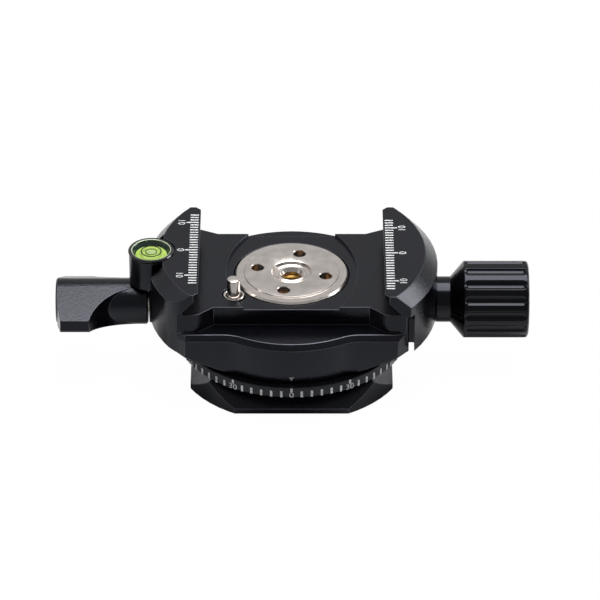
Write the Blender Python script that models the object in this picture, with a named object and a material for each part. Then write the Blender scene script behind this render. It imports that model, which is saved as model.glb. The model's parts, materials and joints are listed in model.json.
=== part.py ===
"""Compact panoramic tripod head: a square dovetail base with a dial ring, a head
that turns on a stainless spindle, and a quick-release clamp with one sliding jaw.

Frame: origin in the middle of the base's underside, on the pan axis. +Z is up,
+X points to the clamp knob, -X to the lock lever, -Y to the front (dial index).
Lengths are in metres, each one named once below and written in millimetres.
"""
import bpy
import bmesh
from math import sin, cos, asin, atan2, pi, radians, sqrt
from mathutils import Matrix

MM = 0.001

# ---- shared ----------------------------------------------------------------
GAP = 0.3 * MM            # clearance between neighbouring pieces
OVER = 2.0 * MM           # how far a cutter runs past the face it cuts
BREAK = 0.3 * MM          # broken edge on turned and milled pieces
BIG_SEGS = 64             # sides of the large round pieces
MID_SEGS = 32
SMALL_SEGS = 16

# ---- base: dovetail plate with rounded corners and a central hub ------------
BASE_HALF = 21.4 * MM     # half the width over the dovetail's lips
BASE_CORNER_R = 24.55 * MM
BASE_LIP_H = 1.4 * MM     # upright lip under the 45 degree dovetail
BASE_H = 6.0 * MM         # plate height, up to the shoulder under the dial ring
HUB_R = 11.0 * MM         # brake drum and bearing hub
HUB_H = 11.3 * MM         # hub above the shoulder
SOCKET_R = 6.5 * MM       # threaded bush for the tripod screw, outside
SOCKET_HOLE_R = 4.1 * MM
SOCKET_L = 9.0 * MM

# ---- dial ring and bearings ---------------------------------------------------
DIAL_R = 24.5 * MM
DIAL_W = 7.2 * MM             # from the ring's rim to its hole
DIAL_T = 2.45 * MM
DIAL_SCREW_IN = 4.5 * MM      # the ring's screws, in from its rim
DIAL_SCREW_R = 0.8 * MM
DIAL_SCREW_HEAD_R = 1.5 * MM
DIAL_SCREW_HEAD_H = 0.8 * MM
DIAL_SCREW_L = 3.0 * MM       # thread below the ring's seat for the head
DIAL_SCREWS = 4

# ---- spindle, fixed in the hub, holding the head down --------------------------
FLANGE_R = 12.0 * MM
FLANGE_T = 1.8 * MM
FLANGE_STEP_R = 10.0 * MM     # raised middle of the disc
FLANGE_STEP_H = 0.25 * MM
SHAFT_R = 6.0 * MM
PIN_HOLE_R = 1.45 * MM        # pin-spanner holes
PIN_HOLE_PCR = 7.4 * MM
PIN_HOLE_D = 1.2 * MM
PIN_HOLES = 4
PIN_HOLE_TURN = radians(-13.0)
SINK_R = 4.3 * MM             # countersink in the middle of the disc
SINK_D = 1.7 * MM
INSERT_R = 2.4 * MM           # brass bush in the spindle
INSERT_HOLE_R = 1.55 * MM
INSERT_L = 7.8 * MM
WASHER_T = 0.4 * MM
BUSH_WALL = 1.0 * MM

# ---- head body -------------------------------------------------------------------
HEAD_R = 30.3 * MM
HEAD_FOOT_R = 23.5 * MM       # flat underside
HEAD_CONE_H = 4.25 * MM        # underside cone
BED_H = 12.95 * MM            # from the underside to the clamp bed
JAW_H = 5.4 * MM              # jaw tops above the bed
RIM_W = 2.6 * MM              # chamfer round the jaw tops, inwards
RIM_H = 2.8 * MM              # the same, downwards
WEB_T = 1.6 * MM              # web that the spindle's flange holds down
RECESS_HALF = 13.85 * MM      # recess in the bed, half its width across the middle
RECESS_SIDE_R = 27.35 * MM    # round of the recess's two sides
RECESS_D = 0.6 * MM
JAW_BLOCK = 5.8 * MM          # from the round side in to the body's end, under the sliding jaw

# front and back walls, seen from above (right half, mirrored)
WALL_Y = 17.2 * MM            # wall beside the bed
WALL_BACK_Y = 17.0 * MM
LEDGE_Y = 17.9 * MM           # edge of the ledge below the wall, and the fixed jaw's end
LEDGE_BACK_Y = 17.3 * MM
FACE_Y = 19.0 * MM            # flat of the front face
FACE_BACK_Y = 18.2 * MM
CORNER_X = 24.0 * MM          # where the wall meets the side
CORNER_ROUND_Y = 16.0 * MM    # where the side leaves the round body
FACE_CORNER_X = 22.3 * MM
LEDGE_CORNER_X = 22.2 * MM
NOSE_R = 22.7 * MM            # round nose that carries the dial index
NOSE_BACK_R = 24.0 * MM
LEDGE_NOSE_R = 21.6 * MM
LEDGE_NOSE_BACK_R = 23.2 * MM
NOSE_BLEND_R = 8.0 * MM       # hollow round between a nose and its flat
NOSE_STEPS = 16
BLEND_STEPS = 4
LEDGE_D = 4.3 * MM            # ledge below the bed
LEDGE_CHAMFER_H = 1.1 * MM
WALL_TOP = 0.6 * MM           # wall's top above the bed, under the jaws' ends
BED_EDGE_Y = 14.0 * MM        # edge of the bed
BED_EDGE_BACK_Y = 15.2 * MM
BED_EDGE_X = 16.3 * MM        # where the edge turns outwards
BED_EDGE_BACK_X = 15.8 * MM
WING_X = 19.4 * MM
WING_Y = 16.8 * MM
WING_BACK_Y = 16.9 * MM
WING_END_X = 20.7 * MM

# ---- dovetail jaws -----------------------------------------------------------------
LIP_X = 19.4 * MM             # lips' distance from the middle
LIP_T = 0.8 * MM
UNDERCUT_X = 22.8 * MM
UNDERCUT_TOP = 1.0 * MM       # foot of the 45 degree slope above the bed
LIP_CORNER = 1.0 * MM         # cut corner at each end of a lip
JAW_CLOSE = 0.85 * MM         # how far the jaw can still close from the stored pose
JAW_BASE_D = 9.0 * MM         # underside of the sliding jaw below the bed
JAW_OPEN = 0.5 * MM           # the jaw's round stands out by this much
JAW_OFFSET = 0.6 * MM         # the jaw's outline is nearer to the front by this much
KEY_Y = 13.6 * MM             # guide keys at the jaw's ends, inner side
KEY_T = 1.0 * MM
KEY_H = 6.0 * MM
KEY_RISE = 0.6 * MM           # keys' underside above the jaw's
KEY_REACH = 4.5 * MM          # keys' length inside the body

# ---- clamp knob, screw and guides -----------------------------------------------------
KNOB_DROP = 6.9 * MM          # knob axis below the bed
SPOT_D = 0.9 * MM             # spot faces for the knob's and lever's washers
SPOT_R = 5.2 * MM
SIDE_WASHER_R = 4.6 * MM
SIDE_WASHER_T = 0.4 * MM
KNOB_NECK_R = 4.85 * MM
KNOB_NECK_L = 3.2 * MM
KNOB_CONE_L = 2.8 * MM
KNOB_R = 8.16 * MM
KNOB_BARREL_L = 13.7 * MM
KNOB_FLUTES = 15
KNOB_FLUTE_D = 0.55 * MM
FLUTE_STEPS = 6               # points round the knob for each flute
FLUTE_WIDTH_SHARE = 0.62      # share of the pitch that a flute takes
KNOB_PLAIN_IN = 0.6 * MM      # plain band next to the cone
KNOB_PLAIN_OUT = 1.0 * MM     # plain band at the outer end
KNOB_FLUTE_RUNOUT = 1.0 * MM  # a flute's rounded end
KNOB_DISH_R = 5.6 * MM        # dish in the knob's end
KNOB_DISH_D = 0.8 * MM
SCREW_R = 2.85 * MM
SCREW_REACH = 7.6 * MM        # clamp screw's length inside the body
SCREW_IN_KNOB = 15.0 * MM
NUT_R = 4.5 * MM              # threaded brass bush in the body
NUT_L = 8.4 * MM
GUIDE_R = 1.5 * MM
GUIDE_Y = 10.0 * MM
GUIDE_DROP = 5.5 * MM         # guide pins below the bed
GUIDE_IN_JAW = 2.0 * MM
GUIDE_REACH = 7.6 * MM        # guide pin's length inside the body
JAW_SPRING_R = 2.2 * MM       # middle of the coil
JAW_SPRING_WIRE_R = 0.2 * MM
JAW_SPRING_SEAT = 4.6 * MM    # depth of the spring's seat in the body
JAW_SPRING_TURNS = 4

# ---- lock lever with two wings, its screw and the brake shoe ------------------------------
LEVER_DROP = 7.28 * MM        # lever axis below the bed
LEVER_R = 4.84 * MM
LEVER_L = 19.5 * MM
LEVER_TILT = radians(7.0)     # how far the front wing is turned up as photographed
WING_SPAN = 11.1 * MM         # from the axis to a wing's tip
WING_TIP_TOP = 0.5 * MM       # tip's upper edge above the lever's middle plane
WING_TIP_LOW = 2.3 * MM       # tip's lower edge below it
WING_TIP_CUT = 0.5 * MM       # bevel under the tip
WING_TIP_IN = 1.3 * MM        # the tip's outer corner drawn in from the lever's end
WING_TIP_L = 6.0 * MM         # length of the tip's edge
WING_SWEEP_R = 11.2 * MM      # hollow sweep from the tip back to the barrel
LOCK_SCREW_R = 2.3 * MM
LOCK_SCREW_IN_LEVER = 17.0 * MM
SHOE_L = 8.0 * MM
BRAKE_PLAY = 0.3 * MM         # the shoe's play, on top of the gap to the drum

# ---- bubble level ---------------------------------------------------------------------------
LEVEL_X = 29.6 * MM           # distance from the pan axis
LEVEL_BOSS_R = 4.7 * MM
LEVEL_BOSS_H = 6.7 * MM
LEVEL_BOSS_TOP = 4.8 * MM     # boss top above the bed
LEVEL_FLANGE_R = 4.85 * MM
LEVEL_FLANGE_T = 0.4 * MM
LEVEL_CUP_R = 3.9 * MM
LEVEL_CUP_L = 4.0 * MM
LEVEL_WALL = 0.35 * MM
LEVEL_LENS_T = 0.5 * MM
LEVEL_DOME_H = 0.5 * MM
BUBBLE_R = 1.3 * MM
BUBBLE_H = 0.7 * MM
NOTCH_X = 27.1 * MM           # step beside the level's boss
NOTCH_HALF = 6.5 * MM
NOTCH_D = 3.0 * MM            # the step's floor below the rim chamfer's foot

# ---- spring-loaded stop pin --------------------------------------------------------------------
STOP_R = 15.0 * MM            # distance from the pan axis
STOP_ANGLE = radians(216.0)
STOP_PIN_R = 1.4 * MM
STOP_PIN_STAND = 3.8 * MM     # above the bed
STOP_COLLAR_R = 1.9 * MM
STOP_COLLAR_H = 1.1 * MM
STOP_BUSH_R = 2.2 * MM
STOP_BUSH_L = 2.4 * MM
STOP_BUSH_IN = 0.1 * MM       # bush's top below the bed
STOP_BORE_FLOOR = 1.3 * MM    # metal left under the pin's bore
STOP_SPRING_R = 1.55 * MM
STOP_SPRING_WIRE_R = 0.2 * MM
STOP_SPRING_TURNS = 5
COIL_STEPS = 8                # points in each turn of a spring

# ---- levels and places that follow from the sizes above -------------------------------------------
DIAL_HOLE_R = DIAL_R - DIAL_W
DIAL_SCREW_PCR = DIAL_R - DIAL_SCREW_IN
DIAL_Z0 = BASE_H + GAP
DIAL_Z1 = DIAL_Z0 + DIAL_T
HEAD_Z0 = DIAL_Z1 + GAP
CONE_Z1 = HEAD_Z0 + HEAD_CONE_H
BED_Z = HEAD_Z0 + BED_H
JAW_Z1 = BED_Z + JAW_H
RIM_Z0 = JAW_Z1 - RIM_H
BODY_END_X = HEAD_R - JAW_BLOCK
RIM_R = HEAD_R - RIM_W
LEDGE_Z = BED_Z - LEDGE_D
RECESS_Z = BED_Z - RECESS_D
HUB_Z1 = BASE_H + HUB_H
FLANGE_Z0 = BED_Z - FLANGE_T
PAN_WASHER_Z1 = FLANGE_Z0 - GAP
PAN_WASHER_Z0 = PAN_WASHER_Z1 - WASHER_T
WEB_Z1 = PAN_WASHER_Z0 - GAP
WEB_Z0 = WEB_Z1 - WEB_T
BUSH_IN_R = SHAFT_R + GAP
BUSH_R = BUSH_IN_R + BUSH_WALL
WEB_HOLE_R = BUSH_R + GAP
SHAFT_Z0 = SOCKET_L + GAP + GAP
KNOB_Z = BED_Z - KNOB_DROP
LEVER_Z = BED_Z - LEVER_DROP
GUIDE_Z = BED_Z - GUIDE_DROP
JAW_X0 = BODY_END_X + JAW_CLOSE + GAP
GUIDE_X0 = BODY_END_X - GUIDE_REACH       # inner end of the guide pins
GUIDE_BORE_X0 = GUIDE_X0 - JAW_CLOSE - GAP
JAW_BASE_Z = BED_Z - JAW_BASE_D
KEY_X0 = BODY_END_X - KEY_REACH
KEY_SLOT_X0 = KEY_X0 - JAW_CLOSE - GAP
KEY_Z0 = JAW_BASE_Z + KEY_RISE
SPOT_X = HEAD_R - SPOT_D
SIDE_WASHER_X = SPOT_X + GAP
HANDLE_X = SIDE_WASHER_X + SIDE_WASHER_T + GAP     # inner face of knob and lever
SCREW_CLEAR_R = SCREW_R + GAP
LOCK_CLEAR_R = LOCK_SCREW_R + GAP
STOP_X = STOP_R * cos(STOP_ANGLE)
STOP_Y = STOP_R * sin(STOP_ANGLE)
STOP_BUSH_Z1 = BED_Z - STOP_BUSH_IN
STOP_BUSH_Z0 = STOP_BUSH_Z1 - STOP_BUSH_L
STOP_COLLAR_Z1 = STOP_BUSH_Z0 - GAP
STOP_COLLAR_Z0 = STOP_COLLAR_Z1 - STOP_COLLAR_H
STOP_BORE_Z0 = HEAD_Z0 + STOP_BORE_FLOOR
STOP_BORE_R = STOP_BUSH_R + GAP
LEVEL_BOSS_Z1 = BED_Z + LEVEL_BOSS_TOP
LEVEL_BOSS_Z0 = LEVEL_BOSS_Z1 - LEVEL_BOSS_H
LEVEL_FLANGE_Z0 = LEVEL_BOSS_Z1 + GAP
LEVEL_FLANGE_Z1 = LEVEL_FLANGE_Z0 + LEVEL_FLANGE_T
LEVEL_CUP_Z0 = LEVEL_FLANGE_Z0 - LEVEL_CUP_L
CLEAR_ABOVE = JAW_Z1 + OVER


# ---- modelling helpers ----------------------------------------------------------------------------
def clear_scene():
    for obj in list(bpy.data.objects):
        bpy.data.objects.remove(obj, do_unlink=True)


def material(name, colour, metallic, roughness, alpha=1.0):
    mat = bpy.data.materials.new(name)
    mat.use_nodes = True
    shader = mat.node_tree.nodes["Principled BSDF"]
    shader.inputs["Base Color"].default_value = (*colour, 1.0)
    shader.inputs["Metallic"].default_value = metallic
    shader.inputs["Roughness"].default_value = roughness
    shader.inputs["Alpha"].default_value = alpha
    return mat


def add_object(name, mesh, mat=None):
    obj = bpy.data.objects.new(name, mesh)
    bpy.context.scene.collection.objects.link(obj)
    if mat is not None:
        mesh.materials.append(mat)
    return obj


def finish_mesh(bm, name, smooth=True):
    bmesh.ops.recalc_face_normals(bm, faces=bm.faces)
    mesh = bpy.data.meshes.new(name)
    bm.to_mesh(mesh)
    bm.free()
    if smooth:
        mesh.shade_smooth()
        mesh.set_sharp_from_angle(angle=radians(30))
    return mesh


def lathe(name, profile, segs, mat=None):
    """Solid of revolution about Z from a closed outline of (radius, z).

    Flat ends on the axis become one face each; a slope that ends there keeps its tip.
    """
    rim = list(profile)
    if rim[0][0] == 0 and rim[0][1] == rim[1][1]:
        rim = rim[1:]
    if rim[-1][0] == 0 and rim[-1][1] == rim[-2][1]:
        rim = rim[:-1]
    bm = bmesh.new()
    verts = [bm.verts.new((r, 0, z)) for r, z in rim]
    pairs = list(zip(verts, verts[1:]))
    if len(rim) == len(profile) and rim[0][0] != 0:
        pairs.append((verts[-1], verts[0]))
    edges = [bm.edges.new(pair) for pair in pairs]
    bmesh.ops.spin(bm, geom=verts + edges, cent=(0, 0, 0), axis=(0, 0, 1),
                   dvec=(0, 0, 0), angle=2 * pi, steps=segs, use_merge=True)
    bmesh.ops.remove_doubles(bm, verts=bm.verts, dist=GAP / 100)
    bmesh.ops.holes_fill(bm, edges=[e for e in bm.edges if e.is_boundary], sides=0)
    return add_object(name, finish_mesh(bm, name), mat)


def prism(name, outline, z0, z1, mat=None):
    """Outline of (x, y) extruded from z0 to z1."""
    bm = bmesh.new()
    face = bm.faces.new([bm.verts.new((x, y, z0)) for x, y in outline])
    grown = bmesh.ops.extrude_face_region(bm, geom=[face])["geom"]
    bmesh.ops.translate(bm, vec=(0, 0, z1 - z0),
                        verts=[g for g in grown if isinstance(g, bmesh.types.BMVert)])
    return add_object(name, finish_mesh(bm, name, smooth=False), mat)


def cross_prism(name, outline, y0, y1, mat=None):
    """Outline of (x, z) extruded from y0 to y1."""
    obj = prism(name, outline, y0, y1, mat)
    for v in obj.data.vertices:
        v.co = (v.co.x, v.co.z, v.co.y)
    obj.data.flip_normals()
    return obj


def loft(name, loops, mat=None, smooth=False):
    """Closed solid through loops of as many points each, capped at both ends."""
    bm = bmesh.new()
    rows = [[bm.verts.new(p) for p in loop] for loop in loops]
    for low, high in zip(rows, rows[1:]):
        for i in range(len(low)):
            j = (i + 1) % len(low)
            bm.faces.new((low[i], low[j], high[j], high[i]))
    bm.faces.new(rows[0])
    bm.faces.new(rows[-1])
    return add_object(name, finish_mesh(bm, name, smooth), mat)


def rod(name, r, z0, z1, segs, mat=None):
    return lathe(name, [(0, z0), (r, z0), (r, z1), (0, z1)], segs, mat)


def tube(name, r_in, r_out, z0, z1, segs, mat=None):
    return lathe(name, [(r_in, z0), (r_out, z0), (r_out, z1), (r_in, z1)], segs, mat)


def coil(name, radius, wire_r, turns, z0, z1, mat):
    """Helical spring about Z; the least gap between its turns is printed."""
    curve = bpy.data.curves.new(name, "CURVE")
    curve.dimensions = "3D"
    curve.bevel_depth = wire_r
    curve.bevel_resolution = 1
    curve.use_fill_caps = True
    spline = curve.splines.new("POLY")
    count = turns * COIL_STEPS + 1
    spline.points.add(count - 1)
    low, high = z0 + wire_r, z1 - wire_r
    for i in range(count):
        a = 2 * pi * i / COIL_STEPS
        spline.points[i].co = (radius * cos(a), radius * sin(a),
                               low + (high - low) * i / (count - 1), 1)
    print(name, "least gap between turns, mm:",
          round(((high - low) / turns - 2 * wire_r) / MM, 2))
    obj = bpy.data.objects.new(name, curve)
    bpy.context.scene.collection.objects.link(obj)
    curve.materials.append(mat)
    return obj


def combine(obj, other, operation):
    """Keep `other` as a wire guide and join, cut or clip obj with it."""
    other.hide_render = True
    other.display_type = "WIRE"
    mod = obj.modifiers.new(operation.lower() + "_" + other.name, "BOOLEAN")
    mod.operation = operation
    mod.solver = "EXACT"
    mod.object = other
    return other


def cut(obj, *cutters):
    for cutter in cutters:
        combine(obj, cutter, "DIFFERENCE")


def axis_empty(name, location, parent=None):
    empty = bpy.data.objects.new(name, None)
    empty.location = location
    bpy.context.scene.collection.objects.link(empty)
    if parent is not None:
        empty.parent = parent
    return empty


def along_x(obj, x, z, y=0.0, sign=1):
    """Lay an object made about Z along the world's X axis, outwards on that side."""
    obj.rotation_euler = (0, sign * pi / 2, 0)
    obj.location = (x, y, z)
    return obj


def hang_on(parent, *objects):
    """Parent objects that are placed in world coordinates."""
    for obj in objects:
        place = Matrix.Translation(obj.location) @ obj.rotation_euler.to_matrix().to_4x4()
        obj.parent = parent
        chain, top = Matrix.Identity(4), parent
        while top is not None:
            chain = Matrix.Translation(top.location) @ chain
            top = top.parent
        local = chain.inverted() @ place
        obj.location = local.to_translation()


def arc(radius, a0, a1, steps, cx=0.0, cy=0.0):
    return [(cx + radius * cos(a0 + (a1 - a0) * i / steps),
             cy + radius * sin(a0 + (a1 - a0) * i / steps)) for i in range(steps + 1)]


# ---- materials --------------------------------------------------------------------------------------
def base_materials():
    return {
        "anodised": material("black_anodised", (0.035, 0.035, 0.038), 0.6, 0.45),
        "ring": material("black_anodised_ring", (0.03, 0.03, 0.032), 0.6, 0.4),
        "steel": material("stainless", (0.62, 0.59, 0.56), 1.0, 0.28),
        "dark_steel": material("black_steel", (0.05, 0.05, 0.05), 0.9, 0.4),
        "brass": material("brass", (0.72, 0.52, 0.28), 1.0, 0.3),
        "spring": material("spring_steel", (0.45, 0.45, 0.46), 1.0, 0.35),
        "acetal": material("black_acetal", (0.03, 0.03, 0.03), 0.0, 0.45),
        "bronze": material("bronze", (0.5, 0.32, 0.16), 1.0, 0.4),
        "clear": material("clear_acrylic", (0.85, 0.9, 0.85), 0.0, 0.05, 0.35),
        "cup": material("level_cup", (0.6, 0.7, 0.5), 0.0, 0.3),
        "fluid": material("level_fluid", (0.62, 0.9, 0.05), 0.0, 0.1),
        "bubble": material("air_bubble", (0.9, 0.95, 0.8), 0.0, 0.05, 0.5),
    }


# ---- base --------------------------------------------------------------------------------------------
def square_loop(half, z):
    return [(half, -half, z), (half, half, z), (-half, half, z), (-half, -half, z)]


def build_base(mats):
    shoulder_half = BASE_HALF - (BASE_H - BASE_LIP_H)
    plate = loft("base_plate", [
        square_loop(BASE_HALF - BREAK, 0),
        square_loop(BASE_HALF, BREAK),
        square_loop(BASE_HALF, BASE_LIP_H),
        square_loop(shoulder_half, BASE_H)], mats["anodised"])
    corners = lathe("base_corner_guide", [
        (0, -OVER), (BASE_CORNER_R - BREAK - OVER, -OVER), (BASE_CORNER_R, BREAK),
        (BASE_CORNER_R, BASE_H + OVER), (0, BASE_H + OVER)], BIG_SEGS)
    combine(plate, corners, "INTERSECT")
    hub = rod("base_hub_guide", HUB_R, BASE_H / 2, HUB_Z1, BIG_SEGS)
    combine(plate, hub, "UNION")
    step_z = SOCKET_L + GAP
    bore = lathe("base_bore_cutter", [
        (0, -OVER), (SOCKET_R + GAP, -OVER), (SOCKET_R + GAP, step_z),
        (SHAFT_R + GAP, step_z), (SHAFT_R + GAP, HUB_Z1 + OVER), (0, HUB_Z1 + OVER)], MID_SEGS)
    cut(plate, bore)

    parts = [plate]
    parts.append(lathe("tripod_socket", [
        (SOCKET_HOLE_R + BREAK, 0), (SOCKET_R, 0), (SOCKET_R, SOCKET_L),
        (SOCKET_HOLE_R, SOCKET_L), (SOCKET_HOLE_R, BREAK)], MID_SEGS, mats["steel"]))

    ring = lathe("dial_ring", [
        (DIAL_HOLE_R, DIAL_Z0), (DIAL_R - BREAK, DIAL_Z0), (DIAL_R, DIAL_Z0 + BREAK),
        (DIAL_R, DIAL_Z1), (DIAL_HOLE_R, DIAL_Z1)], BIG_SEGS, mats["ring"])
    parts.append(ring)
    parts.append(tube("bearing_ring", HUB_R + GAP, DIAL_HOLE_R - GAP, DIAL_Z0, DIAL_Z1,
                      BIG_SEGS, mats["acetal"]))

    head_z0 = DIAL_Z1 - DIAL_SCREW_HEAD_H
    for i in range(DIAL_SCREWS):
        a = 2 * pi * (i + 0.5) / DIAL_SCREWS
        x, y = DIAL_SCREW_PCR * cos(a), DIAL_SCREW_PCR * sin(a)
        low = DIAL_Z0 - DIAL_SCREW_L
        screw = lathe("dial_screw_%d" % (i + 1), [
            (0, low), (DIAL_SCREW_R, low), (DIAL_SCREW_R, head_z0),
            (DIAL_SCREW_HEAD_R, head_z0), (DIAL_SCREW_HEAD_R, DIAL_Z1), (0, DIAL_Z1)],
            SMALL_SEGS, mats["dark_steel"])
        hole_r, seat_r = DIAL_SCREW_R + GAP, DIAL_SCREW_HEAD_R + GAP
        seat_z = head_z0 - GAP
        hole = lathe("dial_screw_cutter_%d" % (i + 1), [
            (0, low - GAP), (hole_r, low - GAP), (hole_r, seat_z), (seat_r, seat_z),
            (seat_r, DIAL_Z1 + OVER), (0, DIAL_Z1 + OVER)], SMALL_SEGS)
        screw.location = hole.location = (x, y, 0)
        cut(plate, hole)
        cut(ring, hole)
        parts.append(screw)

    # stainless spindle: flange on top, shaft down into the hub, blind bore for the brass bush
    insert_z1 = BED_Z - SINK_D - GAP
    insert_z0 = insert_z1 - INSERT_L
    spindle = lathe("spindle", [
        (0, SHAFT_Z0), (SHAFT_R - BREAK, SHAFT_Z0), (SHAFT_R, SHAFT_Z0 + BREAK),
        (SHAFT_R, FLANGE_Z0), (FLANGE_R, FLANGE_Z0),
        (FLANGE_R, BED_Z - FLANGE_STEP_H), (FLANGE_STEP_R, BED_Z - FLANGE_STEP_H),
        (FLANGE_STEP_R - FLANGE_STEP_H, BED_Z), (SINK_R, BED_Z),
        (INSERT_R + GAP, BED_Z - SINK_D), (INSERT_R + GAP, insert_z0 - GAP),
        (0, insert_z0 - GAP)], BIG_SEGS, mats["steel"])
    for i in range(PIN_HOLES):
        a = 2 * pi * i / PIN_HOLES + PIN_HOLE_TURN
        hole = rod("pin_hole_cutter_%d" % (i + 1), PIN_HOLE_R, BED_Z - PIN_HOLE_D,
                   BED_Z + OVER, SMALL_SEGS)
        hole.location = (PIN_HOLE_PCR * cos(a), PIN_HOLE_PCR * sin(a), 0)
        cut(spindle, hole)
    parts.append(spindle)
    parts.append(lathe("spindle_insert", [
        (INSERT_HOLE_R, insert_z0), (INSERT_R, insert_z0), (INSERT_R, insert_z1),
        (INSERT_HOLE_R + BREAK, insert_z1), (INSERT_HOLE_R, insert_z1 - BREAK)],
        SMALL_SEGS, mats["brass"]))
    parts.append(tube("pan_washer", WEB_HOLE_R, FLANGE_R - GAP, PAN_WASHER_Z0, PAN_WASHER_Z1,
                      BIG_SEGS, mats["acetal"]))
    parts.append(tube("pan_bush", BUSH_IN_R, BUSH_R, WEB_Z0, PAN_WASHER_Z1,
                      MID_SEGS, mats["bronze"]))
    return parts


# ---- head body -----------------------------------------------------------------------------------------
def side_line(face_y, corner_x, nose_r, wall_y):
    """Front outline from left to right: side, wall, flat, hollow blend, nose and back."""
    wide = HEAD_R + OVER
    round_x = sqrt(HEAD_R ** 2 - CORNER_ROUND_Y ** 2)
    slope = (wall_y - CORNER_ROUND_Y) / (round_x - CORNER_X)
    far_y = CORNER_ROUND_Y - (wide - round_x) * slope
    blend_y = face_y + NOSE_BLEND_R
    blend_x = sqrt((nose_r + NOSE_BLEND_R) ** 2 - blend_y ** 2)
    tangent = atan2(blend_y, blend_x)
    blend = arc(NOSE_BLEND_R, pi - tangent, pi / 2, BLEND_STEPS, blend_x, -blend_y)[1:]
    right = blend + [(corner_x, -face_y), (CORNER_X, -wall_y), (wide, -far_y)]
    left = [(-x, y) for x, y in reversed(right)]
    return left + arc(nose_r, pi + tangent, 2 * pi - tangent, NOSE_STEPS) + right


def side_loop(face_y, nose_r, face_back_y, nose_back_r, corner_x, z):
    """Plan outline that shapes the body's front and back, at height z."""
    front = side_line(face_y, corner_x, nose_r, WALL_Y)
    back = side_line(face_back_y, corner_x, nose_back_r, WALL_BACK_Y)
    return [(x, y, z) for x, y in front + [(-x, -y) for x, y in back]]


def outer_profile(top_z):
    """Outer side of the round body, with the rim chamfer carried on up to top_z."""
    top_r = RIM_R - (top_z - JAW_Z1) * RIM_W / RIM_H
    return [(HEAD_FOOT_R, HEAD_Z0), (HEAD_R, CONE_Z1), (HEAD_R, RIM_Z0), (top_r, top_z)]


def pocket_outline(side):
    """The step in front of (side -1) or behind (side 1) the bed, from above."""
    wide, far = HEAD_R + OVER, NOSE_BACK_R + OVER
    if side < 0:
        wall_y, wing_y, edge = WALL_Y, WING_Y, (BED_EDGE_X, BED_EDGE_Y)
    else:
        wall_y, wing_y, edge = WALL_BACK_Y, WING_BACK_Y, (BED_EDGE_BACK_X, BED_EDGE_BACK_Y)
    line = [(wide, wall_y), (WING_END_X, wall_y), (WING_X, wing_y), edge]
    line = line + [(-x, y) for x, y in reversed(line)] + [(-wide, far), (wide, far)]
    return [(x, side * y) for x, y in line]


def recess_outline():
    """The bed's recess from above: two bulging sides, open at the bed's edges."""
    centre_x = RECESS_SIDE_R - RECESS_HALF
    half = asin(FACE_Y / RECESS_SIDE_R)
    right = arc(RECESS_SIDE_R, -half, half, NOSE_STEPS, -centre_x)
    return right + [(-x, -y) for x, y in right]


def corner_cutter(name, side_x, end_y):
    """Cuts the corner at one end of a jaw's lip."""
    side_y = 1 if end_y > 0 else -1
    x0, y0 = LIP_X - OVER, abs(end_y) + OVER
    reach = LIP_CORNER + OVER + OVER
    outline = [(x0, y0), (x0, y0 - reach), (x0 + reach, y0)]
    z0 = BED_Z + WALL_TOP + GAP
    return prism(name, [(side_x * x, side_y * y) for x, y in outline], z0, CLEAR_ABOVE)


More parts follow.
